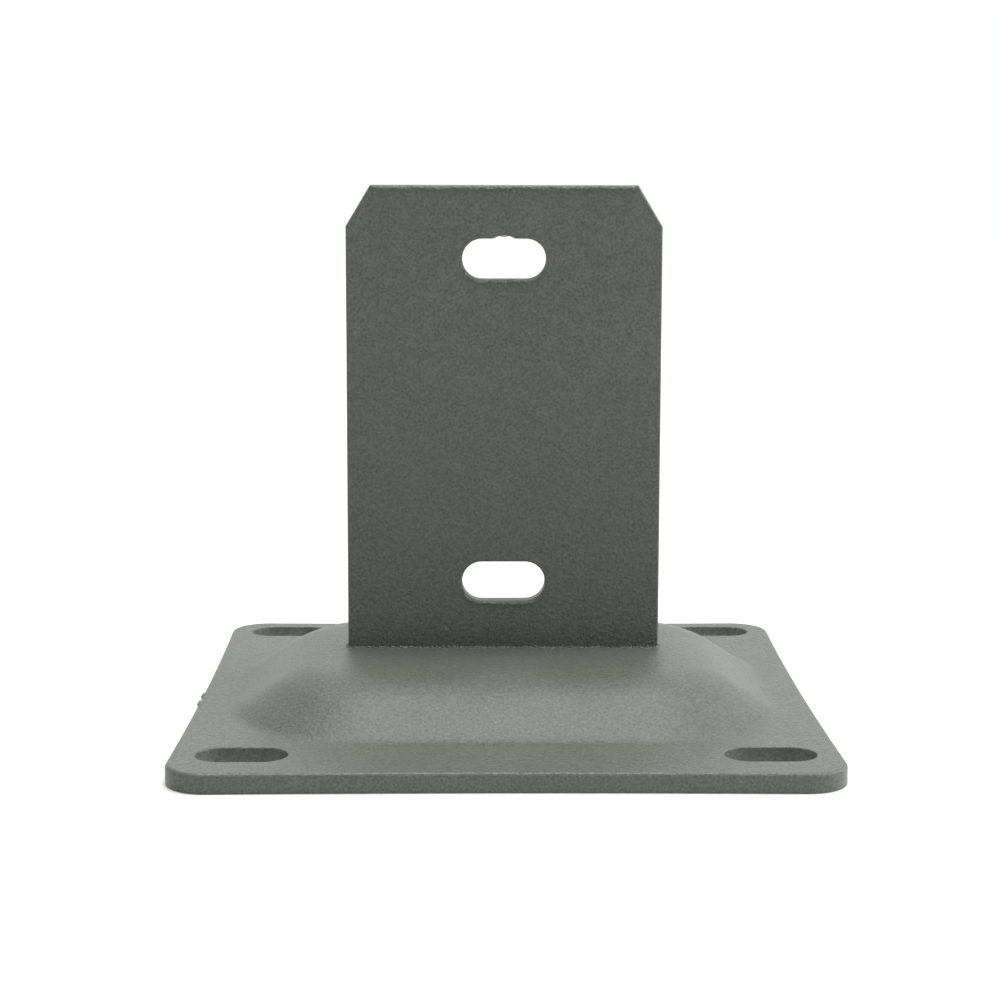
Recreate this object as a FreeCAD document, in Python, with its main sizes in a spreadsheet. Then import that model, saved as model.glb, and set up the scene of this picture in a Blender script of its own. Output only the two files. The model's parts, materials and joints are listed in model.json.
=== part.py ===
import FreeCAD, Part
import math
import os
import Sketcher

# Timber post base: a pressed steel foot plate with a raised dome, and an upright blade that
# stands in a slot through the top of the dome and is welded to it from below. A post is sawn
# down its middle, set over the blade and bolted through it, and the foot plate is bolted to
# the ground through a slot in each corner.
# Millimetres. X runs along the blade's width, Y through its thickness, Z is up, and the
# origin is the centre of the foot plate's underside.

SIZES = {
    # Foot plate
    "plate_thickness": 4.6,
    "side_rim_width": 10.15,        # flat rim from the dome's foot to the left and right sides
    "end_rim_width": 23.9,          # the same to the front and rear sides
    "plate_corner_radius": 9.5,
    "side_draw_in": 1.05,           # pressing the dome pulls in the middle of each side
    "plate_edge_round": 0.9,        # upper rim
    "underside_edge_round": 0.3,
    # Dome pressed up in the plate
    "dome_length": 130.5,           # along X, at the foot of the flank
    "dome_width": 103.0,            # along Y, at the foot of the flank
    "dome_corner_radius": 34.0,
    "dome_height": 10.8,            # above the plate
    "flank_angle": 33.0,            # degrees
    "crown_radius": 25.0,           # bend from the flank to the flat top, outside
    "dome_foot_radius": 5.5,        # bend from the plate to the flank, outside
    # Ground bolt slots in the plate's corners
    "ground_slot_length": 20.6,
    "ground_slot_width": 11.3,
    "ground_slot_margin": 6.1,      # from a slot's outer end to the plate's left or right side
    "front_slot_gap": 2.6,          # from the dome's foot to the slots in front of it
    "rear_slot_gap": 7.1,
    "slot_rim_round": 0.4,
    # Upright blade
    "blade_width": 77.2,
    "blade_thickness": 4.0,
    "blade_top_height": 129.9,      # from the ground
    "blade_foot_reach": 3.6,        # below the dome's ceiling
    "blade_corner_cut_x": 6.0,
    "blade_corner_cut_z": 10.0,
    "blade_edge_round": 0.5,
    "blade_clearance": 0.05,        # all round the blade, in its slot through the dome
    # Post bolt slots in the blade
    "post_slot_length": 20.5,
    "post_slot_width": 9.8,
    "lower_post_slot_height": 32.2, # centre, from the ground
    "upper_post_slot_drop": 17.85,  # centre, below the blade's top
    # Mark of the hook that held the part for coating, in the upper slot's top edge
    "hook_mark_width": 5.4,
    "hook_mark_depth": 0.75,
    # Weld beads under the dome
    "weld_leg": 3.2,
    "weld_length": 66.0,
    "weld_swell": 0.45,             # of the bead's face, past a straight line
    "weld_end_round": 1.2,
}

doc = FreeCAD.newDocument("post_base")
sheet = doc.addObject("Spreadsheet::Sheet", "sizes")
for row, (alias, size) in enumerate(SIZES.items(), start=1):
    sheet.set(f"A{row}", alias)
    sheet.set(f"B{row}", str(size))
    sheet.setAlias(f"B{row}", alias)
doc.recompute()

# The dome is as hollow as it is high, so its ceiling is one sheet thickness below its top.
DOME_CEILING = "sizes.dome_height"
DOME_TOP = "(sizes.dome_height + sizes.plate_thickness)"
BLADE_FOOT = f"({DOME_CEILING} - sizes.blade_foot_reach)"
UPPER_POST_SLOT_HEIGHT = "(sizes.blade_top_height - sizes.upper_post_slot_drop)"
# The plate is the dome with a flat rim round it: 150.8 each way between its sharp corners.
PLATE_LENGTH = "(sizes.dome_length + 2 * sizes.side_rim_width)"
PLATE_WIDTH = "(sizes.dome_width + 2 * sizes.end_rim_width)"
# Centres of the ground slots
GROUND_SLOT_X = f"({PLATE_LENGTH} / 2 - sizes.ground_slot_margin - sizes.ground_slot_length / 2)"
FRONT_SLOT_Y = "(-sizes.dome_width / 2 - sizes.front_slot_gap - sizes.ground_slot_width / 2)"
REAR_SLOT_Y = "(sizes.dome_width / 2 + sizes.rear_slot_gap + sizes.ground_slot_width / 2)"
# The sheet keeps its thickness round the bends, so a bend line on its underside lies this
# much further in than the one above it.
BEND_INSET = "(sizes.plate_thickness * tan(sizes.flank_angle / 2))"
# Taper of the flanks, measured from the vertical
FLANK_TAPER = "sizes.flank_angle - 90"

# How Sketcher numbers a geometry's points, and the origin
START, END, CENTRE = 1, 2, 3
ORIGIN = (-1, 1)
X_AXIS, Y_AXIS = -1, -2

TOLERANCE = 0.01


def number(expression):
    return float(sheet.evalExpression(expression))


def vector(x, y):
    return FreeCAD.Vector(x, y, 0)


# Bodies and sketches

def new_body(label):
    body = doc.addObject("PartDesign::Body", label)
    body.Label = label
    return body


def new_sketch(body, plane, name, level=None):
    """A sketch on one of the body's own origin planes, raised by the expression level."""
    sketch = body.newObject("Sketcher::SketchObject", name)
    face = next(f for f in body.Origin.OriginFeatures if f.Role == plane)
    sketch.AttachmentSupport = [(face, "")]
    sketch.MapMode = "FlatFace"
    if level:
        sketch.setExpression("AttachmentOffset.Base.z", level)
    return sketch


def constrain(sketch, kind, *places):
    return sketch.addConstraint(Sketcher.Constraint(kind, *places))


def dimension(sketch, kind, places, expression):
    """A dimension driven by the expression."""
    index = constrain(sketch, kind, *places, number(expression))
    name = f"size_{index}"
    sketch.renameConstraint(index, name)
    sketch.setExpression(f"Constraints.{name}", expression)


def place_point(sketch, point, x, y):
    """Holds a point at the coordinates that the expressions x and y give."""
    for kind, axis, expression in (("DistanceX", Y_AXIS, x), ("DistanceY", X_AXIS, y)):
        coordinate = number(expression)
        if coordinate > 0:
            dimension(sketch, kind, (*ORIGIN, *point), expression)
        elif coordinate < 0:
            dimension(sketch, kind, (*point, *ORIGIN), f"-({expression})")
        else:
            constrain(sketch, "PointOnObject", *point, axis)


def arc_between(centre_x, centre_y, radius, start_degrees, end_degrees):
    circle = Part.Circle(vector(centre_x, centre_y), FreeCAD.Vector(0, 0, 1), radius)
    return Part.ArcOfCircle(circle, math.radians(start_degrees), math.radians(end_degrees))


def outline(sketch, corners, arcs=()):
    """A closed outline through the corners, anticlockwise, each a pair of expressions.

    arcs maps the number of a side to its chord and its swell, both expressions. Such a side
    is an arc that swells outwards, or is hollow if its swell is negative.
    """
    points = [(number(x), number(y)) for x, y in corners]
    arcs = dict(arcs)
    sides = []
    for side, (x, y) in enumerate(points):
        next_x, next_y = points[(side + 1) % len(points)]
        first, last = vector(x, y), vector(next_x, next_y)
        if side not in arcs:
            sides.append((sketch.addGeometry(Part.LineSegment(first, last)), START, END))
            continue
        swell = number(arcs[side][1])
        outwards = vector(next_y - y, x - next_x).normalize()
        middle = (first + last) * 0.5 + outwards * swell
        curve = sketch.addGeometry(Part.Arc(first, middle, last))
        # Sketcher keeps arcs anticlockwise, so a hollow one runs from its last point.
        sides.append((curve, START, END) if swell > 0 else (curve, END, START))
    for side, (curve, first_end, last_end) in enumerate(sides):
        following, following_end, _ = sides[(side + 1) % len(sides)]
        constrain(sketch, "Coincident", curve, last_end, following, following_end)
        place_point(sketch, (curve, first_end), *corners[side])
        if side in arcs:
            chord, swell = arcs[side]
            depth = f"abs({swell})"
            dimension(sketch, "Radius", (curve,), f"({chord})^2 / (8 * {depth}) + {depth} / 2")


def rectangle(sketch, length_x, length_y, draw_in=None):
    """A centred rectangle, or one with its sides drawn in to shallow arcs."""
    signs = [(-1, -1), (1, -1), (1, 1), (-1, 1)]
    corners = [(f"{i} * ({length_x}) / 2", f"{j} * ({length_y}) / 2") for i, j in signs]
    chords = (length_x, length_y, length_x, length_y)
    arcs = {side: (chord, f"-{draw_in}") for side, chord in enumerate(chords)} if draw_in else {}
    outline(sketch, corners, arcs)


def rounded_rectangle(sketch, length_x, length_y, radius):
    """A centred rectangle with round corners."""
    half_x, half_y, r = number(length_x) / 2, number(length_y) / 2, number(radius)
    a, b = half_x - r, half_y - r
    ends = [
        (vector(-a, -half_y), vector(a, -half_y)),
        (vector(half_x, -b), vector(half_x, b)),
        (vector(a, half_y), vector(-a, half_y)),
        (vector(-half_x, b), vector(-half_x, -b)),
    ]
    centres = [(a, -b), (a, b), (-a, b), (-a, -b)]
    lines = [sketch.addGeometry(Part.LineSegment(*pair)) for pair in ends]
    corners = []
    for turn, (x, y) in enumerate(centres):
        corners.append(sketch.addGeometry(arc_between(x, y, r, 90 * turn - 90, 90 * turn)))
    for side, (line, corner) in enumerate(zip(lines, corners)):
        constrain(sketch, "Tangent", line, END, corner, START)
        constrain(sketch, "Tangent", corner, END, lines[(side + 1) % 4], START)
        constrain(sketch, "Vertical" if side % 2 else "Horizontal", line)
    for corner in corners[1:]:
        constrain(sketch, "Equal", corners[0], corner)
    front, right, rear, left = lines
    constrain(sketch, "Symmetric", front, START, rear, START, *ORIGIN)
    dimension(sketch, "DistanceX", (left, START, right, START), length_x)
    dimension(sketch, "DistanceY", (front, START, rear, START), length_y)
    dimension(sketch, "Radius", (corners[0],), radius)


def slot(sketch, centre_x, centre_y, length, width):
    """A slot with round ends, long along the sketch's X."""
    x, y, r = number(centre_x), number(centre_y), number(width) / 2
    a = number(length) / 2 - r
    lower = sketch.addGeometry(Part.LineSegment(vector(x - a, y - r), vector(x + a, y - r)))
    right = sketch.addGeometry(arc_between(x + a, y, r, -90, 90))
    upper = sketch.addGeometry(Part.LineSegment(vector(x + a, y + r), vector(x - a, y + r)))
    left = sketch.addGeometry(arc_between(x - a, y, r, 90, 270))
    loop = [lower, right, upper, left]
    for side, curve in enumerate(loop):
        constrain(sketch, "Tangent", curve, END, loop[(side + 1) % 4], START)
    constrain(sketch, "Equal", left, right)
    constrain(sketch, "Horizontal", lower)
    half_run = f"({length} - {width}) / 2"
    place_point(sketch, (right, CENTRE), f"{centre_x} + {half_run}", centre_y)
    between_centres = (left, CENTRE, right, CENTRE)
    dimension(sketch, "DistanceX", between_centres, f"{length} - {width}")
    dimension(sketch, "Radius", (right,), f"{width} / 2")


# Features

def pad(body, sketch, length, symmetric=False, taper=None):
    feature = body.newObject("PartDesign::Pad", f"{sketch.Name}_pad")
    feature.Profile = sketch
    feature.setExpression("Length", length)
    if symmetric:
        feature.SideType = "Symmetric"
    if taper:
        feature.setExpression("TaperAngle", taper)
    doc.recompute()


def pocket(body, sketch, length, symmetric=False, taper=None):
    """A cut to both sides of the sketch, or else upwards from it."""
    volume = body.Tip.Shape.Volume
    feature = body.newObject("PartDesign::Pocket", f"{sketch.Name}_pocket")
    feature.Profile = sketch
    feature.setExpression("Length", length)
    if symmetric:
        feature.SideType = "Symmetric"
    else:
        feature.Reversed = True
    if taper:
        feature.setExpression("TaperAngle", taper)
    doc.recompute()
    if feature.Shape.Volume > volume - TOLERANCE:
        raise RuntimeError(f"{feature.Name} cuts nothing")


def fillet(body, name, radius, is_wanted):
    """Rounds each edge of the body that is_wanted picks out."""
    base = body.Tip
    edges = [f"Edge{i}" for i, edge in enumerate(base.Shape.Edges, start=1) if is_wanted(edge)]
    if not edges:
        raise RuntimeError(f"{name} finds no edge")
    feature = body.newObject("PartDesign::Fillet", name)
    feature.Base = (base, edges)
    feature.setExpression("Radius", radius)
    doc.recompute()


def at_height(edge, height):
    """True where the whole edge lies at one height."""
    box = edge.BoundBox
    return max(abs(box.ZMin - height), abs(box.ZMax - height)) < TOLERANCE


def is_vertical(edge):
    box = edge.BoundBox
    return box.ZLength > TOLERANCE and max(box.XLength, box.YLength) < TOLERANCE


def within(edge, half_x, half_y):
    """True where the whole edge lies inside a rectangle centred on the Z axis."""
    box = edge.BoundBox
    x_reach = max(-box.XMin, box.XMax)
    y_reach = max(-box.YMin, box.YMax)
    return x_reach < half_x + TOLERANCE and y_reach < half_y + TOLERANCE


# Foot plate

def make_foot_plate():
    body = new_body("foot_plate")
    upper_face = number("sizes.plate_thickness")

    # Blank, with the four sides drawn in by the pressing
    blank = new_sketch(body, "XY_Plane", "plate_outline")
    rectangle(blank, PLATE_LENGTH, PLATE_WIDTH, draw_in="sizes.side_draw_in")
    pad(body, blank, "sizes.plate_thickness")
    fillet(body, "plate_corners", "sizes.plate_corner_radius", is_vertical)
    fillet(body, "plate_upper_rim", "sizes.plate_edge_round", lambda e: at_height(e, upper_face))
    fillet(body, "plate_lower_rim", "sizes.underside_edge_round", lambda e: at_height(e, 0))

    # Ground bolt slots
    slots = new_sketch(body, "XY_Plane", "ground_slots")
    for centre_x in (f"-{GROUND_SLOT_X}", GROUND_SLOT_X):
        for centre_y in (FRONT_SLOT_Y, REAR_SLOT_Y):
            slot(slots, centre_x, centre_y, "sizes.ground_slot_length", "sizes.ground_slot_width")
    pocket(body, slots, "sizes.plate_thickness")
    slots_end = number(f"{GROUND_SLOT_X} + sizes.ground_slot_length / 2")
    slots_side = number(f"max(-{FRONT_SLOT_Y}; {REAR_SLOT_Y}) + sizes.ground_slot_width / 2")
    fillet(body, "ground_slot_rims", "sizes.slot_rim_round",
           lambda e: at_height(e, upper_face) and within(e, slots_end, slots_side))

    press_dome(body)

    # Slot that the blade stands in
    opening = new_sketch(body, "XY_Plane", "blade_opening", DOME_CEILING)
    rectangle(
        opening,
        "sizes.blade_width + 2 * sizes.blade_clearance",
        "sizes.blade_thickness + 2 * sizes.blade_clearance",
    )
    pocket(body, opening, "sizes.plate_thickness")
    return body


def press_dome(body):
    """The dome, then the hollow under it, each bent at its foot and round its crown."""
    upper_face, top, ceiling = (
        number(level) for level in ("sizes.plate_thickness", DOME_TOP, DOME_CEILING)
    )
    half_length, half_width = number("sizes.dome_length / 2"), number("sizes.dome_width / 2")

    outside = new_sketch(body, "XY_Plane", "dome_foot", "sizes.plate_thickness")
    rounded_rectangle(
        outside, "sizes.dome_length", "sizes.dome_width", "sizes.dome_corner_radius"
    )
    pad(body, outside, "sizes.dome_height", taper=FLANK_TAPER)
    fillet(body, "dome_crown", "sizes.crown_radius", lambda e: at_height(e, top))
    fillet(body, "dome_foot_bend", "sizes.dome_foot_radius",
           lambda e: at_height(e, upper_face) and within(e, half_length, half_width))

    inside = new_sketch(body, "XY_Plane", "hollow_foot")
    rounded_rectangle(
        inside,
        f"sizes.dome_length - 2 * {BEND_INSET}",
        f"sizes.dome_width - 2 * {BEND_INSET}",
        f"sizes.dome_corner_radius - {BEND_INSET}",
    )
    pocket(body, inside, DOME_CEILING, taper=FLANK_TAPER)
    fillet(body, "hollow_crown", "sizes.crown_radius - sizes.plate_thickness",
           lambda e: at_height(e, ceiling))
    fillet(body, "hollow_foot_bend", "sizes.dome_foot_radius + sizes.plate_thickness",
           lambda e: at_height(e, 0) and within(e, half_length, half_width))


# Blade, modelled from the middle of its own lower edge

def make_blade():
    body = new_body("blade")
    body.setExpression("Placement.Base.z", BLADE_FOOT)
    half = "sizes.blade_width / 2"
    top = f"sizes.blade_top_height - {BLADE_FOOT}"
    face = new_sketch(body, "XZ_Plane", "blade_outline")
    outline(
        face,
        [
            (f"-{half}", "0"),
            (half, "0"),
            (half, f"{top} - sizes.blade_corner_cut_z"),
            (f"{half} - sizes.blade_corner_cut_x", top),
            (f"sizes.blade_corner_cut_x - {half}", top),
            (f"-{half}", f"{top} - sizes.blade_corner_cut_z"),
        ],
    )
    pad(body, face, "sizes.blade_thickness", symmetric=True)
    fillet(body, "blade_edges", "sizes.blade_edge_round", lies_in_blade_face)

    slots = new_sketch(body, "XZ_Plane", "post_slots")
    for height in ("sizes.lower_post_slot_height", UPPER_POST_SLOT_HEIGHT):
        slot(slots, "0", f"{height} - {BLADE_FOOT}", "sizes.post_slot_length", "sizes.post_slot_width")
    pocket(body, slots, "sizes.blade_thickness", symmetric=True)

    upper_centre = f"{UPPER_POST_SLOT_HEIGHT} - {BLADE_FOOT}"
    slot_top = f"{upper_centre} + sizes.post_slot_width / 2"
    mark_side = "sizes.hook_mark_width / 2"
    mark = new_sketch(body, "XZ_Plane", "hook_mark")
    outline(
        mark,
        [
            (f"-{mark_side}", upper_centre),
            (mark_side, upper_centre),
            (mark_side, slot_top),
            (f"-{mark_side}", slot_top),
        ],
        arcs={2: ("sizes.hook_mark_width", "sizes.hook_mark_depth")},
    )
    pocket(body, mark, "sizes.blade_thickness", symmetric=True)
    fillet(body, "post_slot_rims", "sizes.slot_rim_round", is_post_slot_rim)
    return body


def lies_in_blade_face(edge):
    """True for an edge of the blade's front or rear face."""
    box = edge.BoundBox
    half = number("sizes.blade_thickness / 2")
    return box.YLength < TOLERANCE and abs(abs(box.YMin) - half) < TOLERANCE


def is_post_slot_rim(edge):
    half_length = number("sizes.post_slot_length / 2")
    half_thickness = number("sizes.blade_thickness / 2")
    return lies_in_blade_face(edge) and within(edge, half_length, half_thickness)


# Weld beads, one in each corner between the blade and the dome's ceiling

def make_weld(label, turn):
    """A bead along the blade's front face, turned about the Z axis by so many degrees."""
    body = new_body(label)
    body.Placement = FreeCAD.Placement(
        FreeCAD.Vector(), FreeCAD.Rotation(FreeCAD.Vector(0, 0, 1), turn)
    )
    blade_face = "-sizes.blade_thickness / 2"
    section = new_sketch(body, "YZ_Plane", f"{label}_section")
    outline(
        section,
        [
            (blade_face, DOME_CEILING),
            (f"{blade_face} - sizes.weld_leg", DOME_CEILING),
            (blade_face, f"{DOME_CEILING} - sizes.weld_leg"),
        ],
        arcs={1: ("sizes.weld_leg * sqrt(2)", "sizes.weld_swell")},
    )
    pad(body, section, "sizes.weld_length", symmetric=True)
    fillet(body, f"{label}_ends", "sizes.weld_end_round", is_arc_across)
    return body


def is_arc_across(edge):
    """True for the curved edge at either end of a bead."""
    return edge.Curve.TypeId == "Part::GeomCircle"


pieces = [
    make_foot_plate(),
    make_blade(),
    make_weld("front_weld", 0),
    make_weld("rear_weld", 180),
]
doc.recompute()

for item in doc.Objects:
    if "Invalid" in item.State or "Error" in item.State:
        raise RuntimeError(f"{item.Name} failed: {item.State}")
for piece in pieces:
    if piece.Shape.isNull() or not piece.Shape.isValid() or len(piece.Shape.Solids) != 1:
        raise RuntimeError(f"{piece.Label} is not one sound solid")

os.makedirs("parts", exist_ok=True)
for piece in pieces:
    piece.Shape.exportStep(f"parts/{piece.Label}.step")
    box = piece.Shape.BoundBox
    print(f"{piece.Label}: {piece.Shape.Volume / 1000:.2f} cm3, z {box.ZMin:.2f} to {box.ZMax:.2f}")
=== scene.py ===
import json
import math
import random

import bmesh
import bpy
from mathutils import Matrix, Vector, noise


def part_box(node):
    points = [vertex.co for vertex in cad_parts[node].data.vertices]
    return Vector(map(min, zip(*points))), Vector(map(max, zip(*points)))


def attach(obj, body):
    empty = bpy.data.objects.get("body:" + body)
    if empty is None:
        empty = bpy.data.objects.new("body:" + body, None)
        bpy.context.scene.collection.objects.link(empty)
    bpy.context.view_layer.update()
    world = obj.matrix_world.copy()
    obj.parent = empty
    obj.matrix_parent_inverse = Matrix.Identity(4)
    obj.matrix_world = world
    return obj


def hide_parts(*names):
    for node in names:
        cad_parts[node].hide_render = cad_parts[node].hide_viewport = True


# Looks of a timber post base: a pressed foot plate and an upright blade in one grey powder
# coat. Metres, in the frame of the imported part: X along the blade, Y through it, Z up.

MM = 0.001

# Camera: a long lens a little higher than the blade's top, looking slightly down at the front
CAMERA_POSITION = Vector((-6.9, -520.0, 136.6)) * MM
CAMERA_YAW = math.radians(0.66)     # to the right
CAMERA_PITCH = math.radians(7.32)   # down
CAMERA_ROLL = math.radians(0.13)
CAMERA_LENS = 76.43
CAMERA_SENSOR = 36.0
CAMERA_SHIFT_Y = -0.07
CAMERA_NEAREST = 0.01
CAMERA_FARTHEST = 20.0

# Coat: a satin grey powder coat with a fine sandy grain. Colours are linear.
COAT_COLOUR = (0.160, 0.170, 0.148)
COAT_ROUGHNESS = 0.40
NOISE_SPAN = 0.25               # a noise node's values mostly stay this near to their middle
GRAIN_SIZE = 1.0 * MM           # of the coarsest grain, which has finer grain in it
GRAIN_OCTAVES = 4.0
GRAIN_FINENESS = 0.62           # how strong each finer grain is beside the one before
GRAIN_HEIGHT = 0.25 * MM
TINT_SIZE = 0.6 * MM            # of the coat's lighter and darker dots
TINT_OCTAVES = 2.0
TINT_DEPTH = 0.37               # how much lighter and darker they are
MOTTLE_SIZE = 14 * MM           # of its slow unevenness
MOTTLE_OCTAVES = 2.0
MOTTLE_TINT = 0.05
SPECK_SPACING = 5 * MM          # size of the cells that may hold a pale speck
SPECK_RADIUS = 0.16 * MM
SPECK_SHARE = 0.35              # of the cells that have one
SPECK_COLOUR = (0.34, 0.35, 0.33)

# Bare metal, finely scratched
STEEL_COLOUR = (0.62, 0.62, 0.60)
STEEL_ROUGHNESS = 0.4
STEEL_TINT = 0.075
SCRATCH_SIZE = 0.3 * MM
SCRATCH_OCTAVES = 3.0
SCRATCH_DEPTH = 0.02 * MM

# Every piece below is uneven, by noise in lumps with finer lumps on them
LUMP_SMOOTHNESS = 0.6
LUMP_STEP = 2.0                 # how much finer each octave is than the one before
LUMP_OCTAVES = 3
OVERLAP = 0.04 * MM             # how far a piece of coat is sunk into the steel
SHARP_ANGLE = math.radians(50)  # edges that turn by more stay sharp

# Powder gathered along the blade's foot
FOOT_LINE_HEIGHT = 0.32 * MM
FOOT_LINE_HEIGHT_CHANGE = 1.3   # share of the height that its lumps add or take
FOOT_LINE_LOWEST = 0.3          # share of the height that is always left
FOOT_LINE_WIDTH = 0.5 * MM
FOOT_LINE_NARROWEST = 0.4       # share of the width that is always left
FOOT_LINE_STEP = 0.2 * MM
FOOT_LINE_LUMP = 0.7 * MM       # length of its lumps
# Its outer side, from the blade down to the dome: ways out in widths, and up in heights
FOOT_LINE_FACE = [(0.0, 1.0), (0.4, 0.85), (0.75, 0.5), (1.0, 0.0)]

# Thick coat along the front edges that face up: the blade's top and its slots' lower rims
BLADE_CORNER_CUT = 6.0 * MM     # the part of the blade's width that a corner's cut takes
POST_SLOTS = ("lower_post_slot", "upper_post_slot")
SLOT_LENGTH = 20.5 * MM
SLOT_WIDTH = 9.8 * MM
SLOT_RIM_TURN = math.radians(60)    # how far round a slot's ends the coat is thick
EDGE_COAT_DEPTH = 0.75 * MM     # how far down the face it reaches
EDGE_COAT_DEPTH_CHANGE = 0.35   # share of the depth that its lumps add or take
EDGE_COAT_THICKNESS = 0.28 * MM
EDGE_COAT_THICKNESS_CHANGE = 0.4
EDGE_COAT_STEP = 0.25 * MM
EDGE_COAT_LUMP = 1.6 * MM       # length of its lumps
EDGE_COAT_FADE = 1.5 * MM       # length over which an end grows to full size
EDGE_COAT_END = 0.2             # share of the full size at the very end
# Its section. Behind the edge: ways back from the face, and down in depths. On the face:
# ways out in thicknesses, and down in depths.
EDGE_COAT_BEHIND = [(0.5 * MM, 0.5), (0.35 * MM, 0.0), (0.14 * MM, 0.1)]
EDGE_COAT_FACE = [(0.0, 0.32), (0.55, 0.65), (1.0, 1.0), (0.7, 1.12)]
EDGE_COAT_FOOT = 1.2            # where it ends on the face, in depths

# Separate lumps, made from balls
BALL_SUBDIVISIONS = 3
BALL_UNEVENNESS = 0.3           # share of the radius
BALL_LUMP = 0.8                 # size of the unevenness, in radii
BALL_NOISE_STEP = 7.0           # from ball to ball in the noise, so that no two are alike
LEFT_SIDE_DRAWN_IN = 0.8 * MM   # how far the plate's side is drawn in between its corners

# Nibs: grains of powder that stand out of the coat, scattered over the foot plate
NIB_COUNT = 9
NIB_SEED = 4
NIB_RADIUS = 0.22 * MM
NIB_SMALLEST = 0.6              # share of that radius
NIB_FLATNESS = 0.6              # height beside width
NIB_LEAST_UP = 0.7              # upward part of the coat's normal where a nib may sit
NIB_RAY_HEIGHT = 10 * MM        # above the part, where the ray starts that finds its place

# The bare spot in the notch of the upper slot's roof
BURR_X = 0.1 * MM
BURR_Y = 1.0 * MM
BURR_FROM_TOP = 12.2 * MM       # down from the blade's top
BURR_RADII = (1.4 * MM, 0.35 * MM, 0.42 * MM)

# Weld beads
BEAD_SWELL = 0.45 * MM
BEAD_END = 1.2 * MM             # length of a bead's round end
BEAD_END_SIZE = 0.3             # share of the full size at the very end
BEAD_STEP = 0.25 * MM
BEAD_FACE_POINTS = 13
RIPPLE_PITCH = 1.5 * MM
RIPPLE_DEPTH = 0.16 * MM
RIPPLE_ROUNDNESS = 0.6          # under 1, for round ripples with sharp valleys between them
RIPPLE_BOW = 0.45               # how far a ripple's middle runs ahead, in ripples
RIPPLE_DRIFT = 0.25             # how unevenly they follow each other, in ripples
RIPPLE_DRIFT_LENGTH = 8 * MM

# Studio. Its lights are square soft boxes aimed at the blade's foot: place, side and power.
LIGHTS = {
    "overhead_front": ((0, -0.3, 1.35), 0.8, 2.3),
    "overhead_rear": ((0, 0.35, 1.35), 0.8, 4.0),
    "near_overhead": ((0, 0, 0.8), 0.4, 2.8),
    "right": ((1.2, 0, 0.7), 0.6, 10.6),
}
AMBIENT = 0.05
WHITE = (1.0, 1.0, 1.0, 1.0)
FLOOR_COLOUR = (0.9, 0.9, 0.9, 1.0)
FLOOR_GLOW = 0.4    # added where the floor is seen, so that it is white beside its shadow
FLOOR_NEAR = 0.3    # distance at which the glow starts to grow
FLOOR_FAR = 1.0     # distance at which it is white by itself
FLOOR_SIZE = 6.0

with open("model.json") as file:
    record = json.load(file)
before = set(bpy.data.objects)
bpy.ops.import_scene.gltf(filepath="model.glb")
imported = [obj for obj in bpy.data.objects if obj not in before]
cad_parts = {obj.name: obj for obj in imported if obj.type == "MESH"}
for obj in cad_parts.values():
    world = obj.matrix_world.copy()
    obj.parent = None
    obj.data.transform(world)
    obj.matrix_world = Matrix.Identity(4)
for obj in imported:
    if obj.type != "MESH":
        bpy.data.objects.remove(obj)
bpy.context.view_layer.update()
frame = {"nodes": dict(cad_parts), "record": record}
PLATE_LOW, PLATE_HIGH = (Vector(corner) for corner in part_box("foot_plate"))
BLADE_LOW, BLADE_HIGH = (Vector(corner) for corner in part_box("blade"))
DOME_TOP = PLATE_HIGH.z
BLADE_FOOT = (0, 0, DOME_TOP)
SLOT_HEIGHTS = [
    mount["pos_m"][2] for mount in frame["record"]["mounts"] if mount["name"] in POST_SLOTS
]


def link(obj):
    """Puts the object in the scene and returns it."""
    bpy.context.scene.collection.objects.link(obj)
    return obj


# Nodes

class Tree:
    """A node tree being built: add() makes a node, wires its inputs and returns it."""

    def __init__(self, owner):
        owner.use_nodes = True
        self.tree = owner.node_tree
        self.tree.nodes.clear()

    def add(self, kind, inputs=None, **settings):
        node = self.tree.nodes.new(kind)
        for name, value in settings.items():
            setattr(node, name, value)
        for name, value in (inputs or {}).items():
            socket = node.inputs[name]
            if isinstance(value, bpy.types.NodeSocket):
                self.tree.links.new(value, socket)
            else:
                socket.default_value = value
        return node

    def math(self, operation, *values):
        node = self.add("ShaderNodeMath", dict(enumerate(values)), operation=operation)
        return node.outputs[0]

    def noise(self, place, size, octaves, fineness=0.5):
        """Noise about 0, mostly within NOISE_SPAN of it."""
        inputs = {"Vector": place, "Scale": 1 / size, "Detail": octaves, "Roughness": fineness}
        return self.math("SUBTRACT", self.add("ShaderNodeTexNoise", inputs).outputs["Fac"], 0.5)

    def varied(self, number, wave, depth):
        """The number, raised and lowered by up to about the depth as the noise goes."""
        return self.math("ADD", number, self.math("MULTIPLY", wave, depth / NOISE_SPAN))

    def scaled(self, colour, factor):
        """The colour times a number."""
        mix = self.add("ShaderNodeVectorMath", {0: colour, "Scale": factor}, operation="SCALE")
        return mix.outputs[0]

    def surface(self, colour, height, depth, inputs):
        """A shader with this colour and bumps, and with the other inputs set as given."""
        bump = self.add("ShaderNodeBump", {"Height": height, "Strength": 1.0, "Distance": depth})
        looks = {"Base Color": colour, "Normal": bump.outputs["Normal"]}
        shader = self.add("ShaderNodeBsdfPrincipled", {**looks, **inputs})
        self.add("ShaderNodeOutputMaterial", {"Surface": shader.outputs["BSDF"]})


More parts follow.
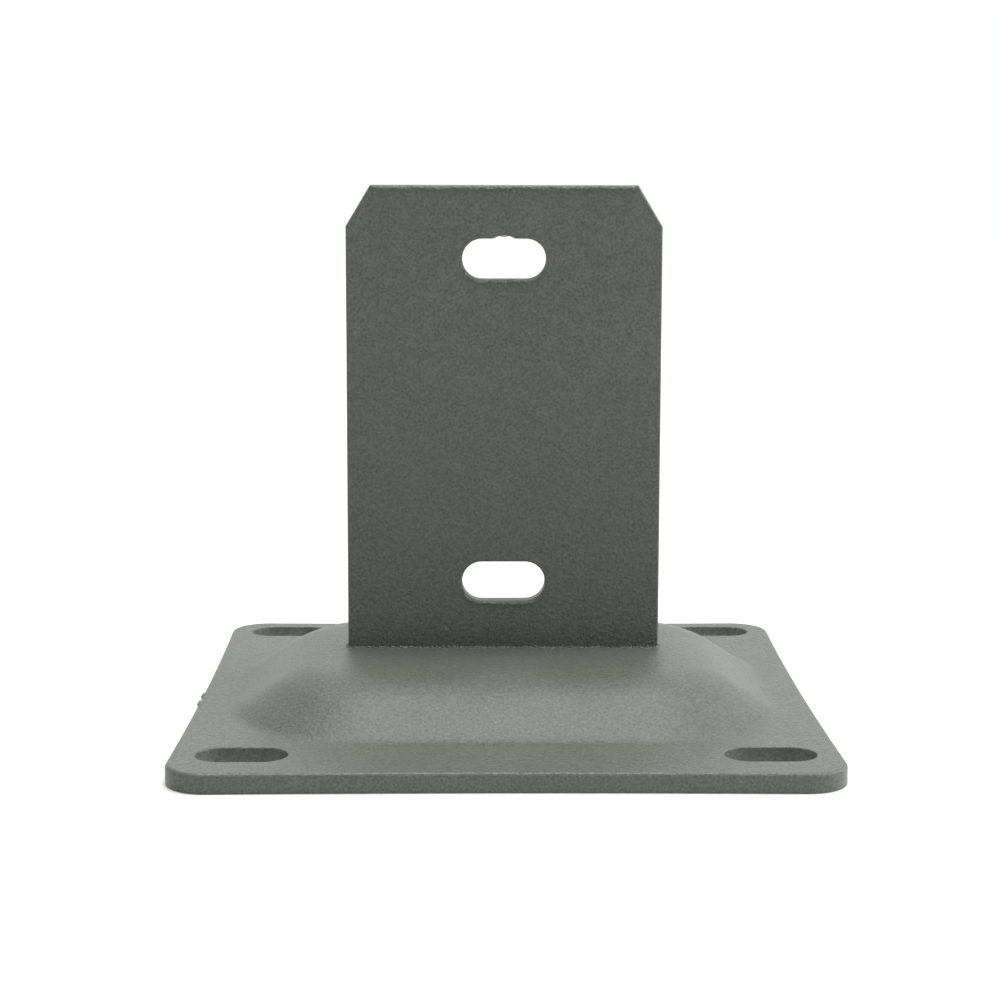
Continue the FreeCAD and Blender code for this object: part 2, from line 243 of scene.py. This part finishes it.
def make_coat(name):
    """Powder coat: sandy grain, dots of colour, slow unevenness and a few pale specks."""
    material = bpy.data.materials.new(name)
    t = Tree(material)
    place = t.add("ShaderNodeTexCoord").outputs["Object"]

    grain = t.noise(place, GRAIN_SIZE, GRAIN_OCTAVES, GRAIN_FINENESS)
    dots = t.noise(place, TINT_SIZE, TINT_OCTAVES)
    mottle = t.noise(place, MOTTLE_SIZE, MOTTLE_OCTAVES)
    tint = t.varied(t.varied(1.0, dots, TINT_DEPTH), mottle, MOTTLE_TINT)
    colour = t.scaled(COAT_COLOUR, tint)

    cells = t.add("ShaderNodeTexVoronoi", {"Vector": place, "Scale": 1 / SPECK_SPACING}).outputs
    near = t.math("LESS_THAN", cells["Distance"], SPECK_RADIUS / SPECK_SPACING)
    chosen = t.add("ShaderNodeSeparateColor", {"Color": cells["Color"]}).outputs["Red"]
    speck = t.math("MULTIPLY", near, t.math("LESS_THAN", chosen, SPECK_SHARE))
    colour = t.add(
        "ShaderNodeMix",
        {"Factor": speck, "A": colour, "B": (*SPECK_COLOUR, 1.0)},
        data_type="RGBA",
    )
    t.surface(colour.outputs["Result"], grain, GRAIN_HEIGHT, {"Roughness": COAT_ROUGHNESS})
    return material


def make_bare_steel():
    """The metal that the coating hook kept bare."""
    material = bpy.data.materials.new("bare_steel")
    t = Tree(material)
    place = t.add("ShaderNodeTexCoord").outputs["Object"]
    scratches = t.noise(place, SCRATCH_SIZE, SCRATCH_OCTAVES)
    colour = t.scaled(STEEL_COLOUR, t.varied(1.0, scratches, STEEL_TINT))
    metal = {"Metallic": 1.0, "Roughness": STEEL_ROUGHNESS}
    t.surface(colour, scratches, SCRATCH_DEPTH, metal)
    return material


# Pieces

def make_piece(name, points, faces, material):
    """A mesh piece that rides with the part, smooth but for its sharp edges."""
    mesh = bpy.data.meshes.new(name)
    mesh.from_pydata(points, [], faces)
    b = bmesh.new()
    b.from_mesh(mesh)
    bmesh.ops.recalc_face_normals(b, faces=b.faces)
    b.to_mesh(mesh)
    b.free()
    mesh.shade_smooth()
    mesh.set_sharp_from_angle(angle=SHARP_ANGLE)
    mesh.materials.append(material)
    piece = link(bpy.data.objects.new(name, mesh))
    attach(piece, "root")
    return piece


def loft(sections, closed):
    """Points and faces of a tube through the sections, closed on itself or capped."""
    size = len(sections[0])
    points = [point for section in sections for point in section]
    faces = []
    for i in range(len(sections) if closed else len(sections) - 1):
        here = i * size
        there = (i + 1) % len(sections) * size
        for j in range(size):
            k = (j + 1) % size
            faces.append((here + j, here + k, there + k, there + j))
    if not closed:
        faces.append(tuple(range(size)))
        faces.append(tuple(range(len(points) - size, len(points))))
    return points, faces


def append_mesh(points, faces, more_points, more_faces):
    """Adds a second mesh's points and faces to the first one's."""
    first = len(points)
    points += more_points
    faces += [tuple(first + corner for corner in face) for face in more_faces]


def lumpiness(place, size):
    """From about -1 to 1, in lumps of about this size."""
    return noise.fractal(place / size, LUMP_SMOOTHNESS, LUMP_STEP, LUMP_OCTAVES)


def round_blade(step):
    """Places round the blade's outline, each with its way outwards: diagonal at a corner."""
    signs = [(-1, -1), (1, -1), (1, 1), (-1, 1)]
    corners = [Vector((i * BLADE_HIGH.x, j * BLADE_HIGH.y, 0)) for i, j in signs]
    for number, start in enumerate(corners):
        end = corners[(number + 1) % len(corners)]
        along = (end - start).normalized()
        yield start, Vector((*signs[number], 0))
        count = round((end - start).length / step)
        for i in range(1, count):
            yield start.lerp(end, i / count), Vector((along.y, -along.x, 0))


def make_foot_line(coat):
    """Powder caught in the corner where the blade comes out of the dome: a thin lumpy bead."""
    sections = []
    for place, outwards in round_blade(FOOT_LINE_STEP):
        lump = lumpiness(place, FOOT_LINE_LUMP)
        spread = lumpiness(place + Vector((0, 0, 1)), FOOT_LINE_LUMP)
        height = FOOT_LINE_HEIGHT * max(FOOT_LINE_LOWEST, 1.0 + FOOT_LINE_HEIGHT_CHANGE * lump)
        width = FOOT_LINE_WIDTH * max(FOOT_LINE_NARROWEST, 1.0 + spread)
        profile = [(-OVERLAP, -OVERLAP), (-OVERLAP, height)]
        profile += [(out * width, up * height) for out, up in FOOT_LINE_FACE]
        profile.append((width, -OVERLAP))
        sections.append(
            [place + outwards * out + Vector((0, 0, DOME_TOP + up)) for out, up in profile]
        )
    points, faces = loft(sections, closed=True)
    make_piece("foot_line", points, faces, coat)


def top_edge():
    """Places along the blade's upper front edge, each with the way off the edge."""
    half = BLADE_HIGH.x - BLADE_CORNER_CUT
    count = round(2 * half / EDGE_COAT_STEP)
    for i in range(count + 1):
        x = half * (2 * i / count - 1)
        yield Vector((x, BLADE_LOW.y, BLADE_HIGH.z)), Vector((0, 0, 1))


def slot_rim(height):
    """The same along a slot's lower front rim: an arc, a straight run and an arc."""
    radius = SLOT_WIDTH / 2
    straight = SLOT_LENGTH / 2 - radius
    turn = SLOT_RIM_TURN * radius
    length = 2 * (straight + turn)
    count = round(length / EDGE_COAT_STEP)
    for i in range(count + 1):
        along = length * (i / count - 0.5)
        beyond = max(0.0, abs(along) - straight) / radius
        angle = math.copysign(beyond, along)
        middle_x = max(-straight, min(straight, along))
        off_edge = Vector((-math.sin(angle), 0, math.cos(angle)))
        yield Vector((middle_x, BLADE_LOW.y, height)) - off_edge * radius, off_edge


def edge_coat(path):
    """Points and faces of the coat's thick edge along a path: uneven on the blade's face."""
    places = list(path)
    sections = []
    for i, (place, off_edge) in enumerate(places):
        to_end = min(i, len(places) - 1 - i) * EDGE_COAT_STEP
        size = min(1.0, EDGE_COAT_END + to_end / EDGE_COAT_FADE)
        lump = lumpiness(place, EDGE_COAT_LUMP)
        deep = EDGE_COAT_DEPTH * size * (1.0 + EDGE_COAT_DEPTH_CHANGE * lump)
        thick = EDGE_COAT_THICKNESS * size * (1.0 + EDGE_COAT_THICKNESS_CHANGE * lump)
        profile = [(-back, down * deep) for back, down in EDGE_COAT_BEHIND]
        profile += [(out * thick, down * deep) for out, down in EDGE_COAT_FACE]
        profile.append((-OVERLAP, EDGE_COAT_FOOT * deep))
        sections.append(
            [place - Vector((0, out, 0)) - off_edge * down for out, down in profile]
        )
    return loft(sections, closed=False)


def make_edge_coat(coat):
    """Thick coat along the edges that face up, where the powder gathers."""
    points, faces = edge_coat(top_edge())
    for height in SLOT_HEIGHTS:
        append_mesh(points, faces, *edge_coat(slot_rim(height)))
    make_piece("edge_coat", points, faces, coat)


def ball(radii, number):
    """Points and faces of an uneven ball with these three radii, about its own middle."""
    in_noise = Vector((BALL_NOISE_STEP * number, 0, 0))
    b = bmesh.new()
    bmesh.ops.create_icosphere(b, subdivisions=BALL_SUBDIVISIONS, radius=1.0)
    points = []
    for vert in b.verts:
        bulge = 1.0 + BALL_UNEVENNESS * lumpiness(vert.co + in_noise, BALL_LUMP)
        points.append(Vector([r * c * bulge for r, c in zip(radii, vert.co)]))
    faces = [[vert.index for vert in face.verts] for face in b.faces]
    b.free()
    return points, faces


def make_lumps(name, lumps, material):
    """Uneven lumps, each given as its middle and its three radii."""
    points, faces = [], []
    for number, (middle, radii) in enumerate(lumps):
        its_points, its_faces = ball(radii, number)
        append_mesh(points, faces, [middle + point for point in its_points], its_faces)
    make_piece(name, points, faces, material)


def lumps_in_coat():
    """Where the powder ran or gathered: on the left side, the blade's foot and its top edge."""
    left_side = PLATE_LOW.x + LEFT_SIDE_DRAWN_IN
    blade_face = BLADE_LOW.y
    blade_top = BLADE_HIGH.z
    return [
        (Vector((left_side, -6.2 * MM, 4.05 * MM)), (0.38 * MM, 2.4 * MM, 0.5 * MM)),
        (Vector((left_side, -13.4 * MM, 4.05 * MM)), (0.5 * MM, 2.2 * MM, 0.5 * MM)),
        (Vector((23.6 * MM, blade_face, DOME_TOP)), (1.5 * MM, 0.5 * MM, 0.45 * MM)),
        (Vector((0.6 * MM, blade_face, blade_top - 0.65 * MM)), (0.8 * MM, 0.2 * MM, 0.35 * MM)),
        (Vector((18.3 * MM, blade_face, blade_top - 0.7 * MM)), (1.5 * MM, 0.2 * MM, 0.5 * MM)),
    ]


def scattered_nibs():
    """Small nibs on the upper side of the foot plate."""
    chance = random.Random(NIB_SEED)
    plate = frame["nodes"]["foot_plate"]
    above = PLATE_HIGH.z + NIB_RAY_HEIGHT
    down = Vector((0, 0, -1))
    nibs = []
    while len(nibs) < NIB_COUNT:
        x = chance.uniform(PLATE_LOW.x, PLATE_HIGH.x)
        y = chance.uniform(PLATE_LOW.y, PLATE_HIGH.y)
        radius = NIB_RADIUS * chance.uniform(NIB_SMALLEST, 1.0)
        hit, place, normal, _ = plate.ray_cast(Vector((x, y, above)), down)
        if hit and normal.z > NIB_LEAST_UP:
            nibs.append((place, (radius, radius, NIB_FLATNESS * radius)))
    return nibs


def make_hook_burr(steel):
    """Bare metal that the coating hook left in the roof of the upper slot."""
    roof = Vector((BURR_X, BURR_Y, BLADE_HIGH.z - BURR_FROM_TOP))
    make_lumps("hook_burr", [(roof, BURR_RADII)], steel)


def make_weld_bead(node, coat):
    """A weld bead in place of the CAD's plain one, with the ripples that its pool left."""
    low, high = (Vector(corner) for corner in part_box(node))
    inner_y, outer_y = sorted((low.y, high.y), key=abs)
    leg_y = Vector((0, outer_y - inner_y, 0))
    leg_z = Vector((0, 0, low.z - high.z))
    outwards = (leg_y.normalized() + leg_z.normalized()).normalized()
    stations = round((high.x - low.x) / BEAD_STEP)
    sections = []
    for station in range(stations + 1):
        x = low.x + (high.x - low.x) * station / stations
        root = Vector((x, inner_y, high.z))
        to_end = min(x - low.x, high.x - x, BEAD_END)
        size = max(BEAD_END_SIZE, math.sqrt(1 - (1 - to_end / BEAD_END) ** 2))
        drift = RIPPLE_DRIFT * lumpiness(Vector((x, inner_y, 0)), RIPPLE_DRIFT_LENGTH)
        ripple = x / RIPPLE_PITCH + drift
        section = [root]
        for i in range(BEAD_FACE_POINTS):
            across = i / (BEAD_FACE_POINTS - 1)
            middle = 4 * across * (1 - across)      # 0 at the face's edges, 1 in its middle
            wave = math.sin(math.pi * ((ripple + RIPPLE_BOW * middle) % 1.0))
            rise = middle * (BEAD_SWELL - RIPPLE_DEPTH * (1 - wave ** RIPPLE_ROUNDNESS))
            face = leg_y * (1 - across) + leg_z * across + outwards * rise
            section.append(root + face * size)
        sections.append(section)
    points, faces = loft(sections, closed=False)
    bead = make_piece(f"{node}_bead", points, faces, coat)
    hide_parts(node)


# Stage

def is_seen(t):
    """1 for rays that show the stage, from the camera or in a reflection, and 0 for others."""
    rays = t.add("ShaderNodeLightPath").outputs
    seen = rays["Is Camera Ray"]
    for ray in ("Is Glossy Ray", "Is Transmission Ray"):
        seen = t.math("MAXIMUM", seen, rays[ray])
    return seen


def make_world():
    """A white backdrop, which lights the part only a little."""
    world = bpy.data.worlds.new("studio")
    bpy.context.scene.world = world
    t = Tree(world)
    ambient = t.add("ShaderNodeBackground", {"Color": WHITE, "Strength": AMBIENT})
    backdrop = t.add("ShaderNodeBackground", {"Color": WHITE, "Strength": 1.0})
    mixed = t.add(
        "ShaderNodeMixShader",
        {0: is_seen(t), 1: ambient.outputs[0], 2: backdrop.outputs[0]},
    )
    t.add("ShaderNodeOutputWorld", {"Surface": mixed.outputs[0]})


def make_floor():
    """A white floor, which keeps the part's shadow."""
    mesh = bpy.data.meshes.new("floor")
    half = FLOOR_SIZE / 2
    corners = [(-half, -half, 0), (half, -half, 0), (half, half, 0), (-half, half, 0)]
    mesh.from_pydata(corners, [], [(0, 1, 2, 3)])
    floor = link(bpy.data.objects.new("floor", mesh))
    material = bpy.data.materials.new("floor_white")
    t = Tree(material)
    lit = t.add("ShaderNodeBsdfDiffuse", {"Color": FLOOR_COLOUR})
    place = t.add("ShaderNodeTexCoord").outputs["Object"]
    distance = t.add("ShaderNodeVectorMath", {0: place}, operation="LENGTH").outputs["Value"]
    glow = t.add(
        "ShaderNodeMapRange",
        {
            "Value": distance, "From Min": FLOOR_NEAR, "From Max": FLOOR_FAR,
            "To Min": FLOOR_GLOW, "To Max": 1.0,
        },
    ).outputs["Result"]
    glow = t.math("MULTIPLY", is_seen(t), glow)
    white = t.add("ShaderNodeEmission", {"Color": WHITE, "Strength": glow})
    both = t.add("ShaderNodeAddShader", {0: lit.outputs[0], 1: white.outputs[0]})
    t.add("ShaderNodeOutputMaterial", {"Surface": both.outputs[0]})
    mesh.materials.append(material)


def make_light(name, place, side, power):
    """A square soft box aimed at the blade's foot."""
    data = bpy.data.lights.new(name, "AREA")
    data.shape = "RECTANGLE"
    data.size = side
    data.size_y = side
    data.energy = power
    lamp = link(bpy.data.objects.new(name, data))
    lamp.location = place
    aim = Vector(BLADE_FOOT) - Vector(place)
    lamp.rotation_euler = aim.to_track_quat("-Z", "Y").to_euler()


def make_camera():
    data = bpy.data.cameras.new("camera")
    data.lens = CAMERA_LENS
    data.sensor_width = CAMERA_SENSOR
    data.shift_y = CAMERA_SHIFT_Y
    data.clip_start = CAMERA_NEAREST
    data.clip_end = CAMERA_FARTHEST
    camera = link(bpy.data.objects.new("camera", data))
    camera.matrix_world = (
        Matrix.Translation(CAMERA_POSITION)
        @ Matrix.Rotation(-CAMERA_YAW, 4, "Z")
        @ Matrix.Rotation(math.pi / 2 - CAMERA_PITCH, 4, "X")
        @ Matrix.Rotation(CAMERA_ROLL, 4, "Z")
    )
    bpy.context.scene.camera = camera


make_world()
make_floor()
for light_name, (light_place, light_side, light_power) in LIGHTS.items():
    make_light(light_name, light_place, light_side, light_power)
make_camera()

coat = make_coat("coat")
for node in frame["nodes"].values():
    node.data.materials.clear()
    node.data.materials.append(coat)
make_foot_line(coat)
make_edge_coat(coat)
make_lumps("coat_lumps", lumps_in_coat(), coat)
make_lumps("coat_nibs", scattered_nibs(), coat)
make_hook_burr(make_bare_steel())
for node_name in ("front_weld", "rear_weld"):
    make_weld_bead(node_name, coat)

bpy.context.scene.view_settings.view_transform = "Standard"
